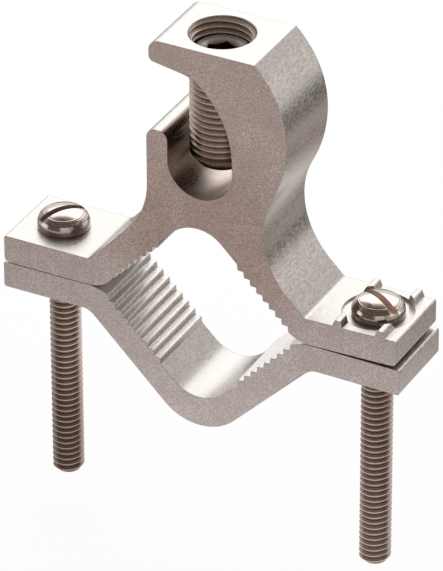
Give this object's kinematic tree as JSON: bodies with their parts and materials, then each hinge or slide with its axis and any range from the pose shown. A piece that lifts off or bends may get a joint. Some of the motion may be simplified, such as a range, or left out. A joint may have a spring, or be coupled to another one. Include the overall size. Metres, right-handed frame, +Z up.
{
  "type": "rebar ground clamp",
  "caption": "Rod clamp of toothed V jaws joined by slotted screws, with a hooked arm on top whose hexagon-socket set screw presses a ground wire into a trough.",
  "frame": {"origin": "centre of the gripped rod, in the middle of the jaws' width, on the plane where the jaws meet", "axes": "+X from the left clamp screw, under the hook's open side, to the right one; +Y along the gripped rod, away from the camera; +Z up, towards the hook"},
  "size_m": [0.0854, 0.0172, 0.1084],
  "materials": {
    "jaw_metal": "satin tin-plated extrusion, with fine lines through its width and matt cut faces",
    "clamp_screw_steel": "bright head, duller threaded shank",
    "set_screw_steel": "satin thread with a smooth nose"
  },
  "bodies": {
    "upper": {"upper_jaw": "jaw_metal"},
    "lower": {"lower_jaw": "jaw_metal"},
    "left_screw": {"left_clamp_screw": "clamp_screw_steel"},
    "right_screw": {"right_clamp_screw": "clamp_screw_steel"},
    "hook_screw": {"set_screw": "set_screw_steel"}
  },
  "joints": [
    {"name": "lower_jaw_slide", "type": "slide", "parent": "upper", "child": "lower", "axis": [0, 0, -1], "range_m": [0, 0.03175]},
    {"name": "left_screw_turn", "type": "hinge", "parent": "upper", "child": "left_screw", "pos_m": [-0.034, 0, 0], "axis": [0, 0, 1], "range_deg": [0, 9000]},
    {"name": "right_screw_turn", "type": "hinge", "parent": "upper", "child": "right_screw", "pos_m": [0.034, 0, 0], "axis": [0, 0, 1], "range_deg": [0, 9000]},
    {"name": "set_screw_slide", "type": "slide", "parent": "upper", "child": "hook_screw", "axis": [0, 0, 1], "range_m": [-0.00127, 0.0127]}
  ],
  "couplings": [
    {"joint": "left_screw_turn", "follows": "lower_jaw_slide", "rad_per_m": 4947.4},
    {"joint": "right_screw_turn", "follows": "lower_jaw_slide", "rad_per_m": 4947.4}
  ]
}
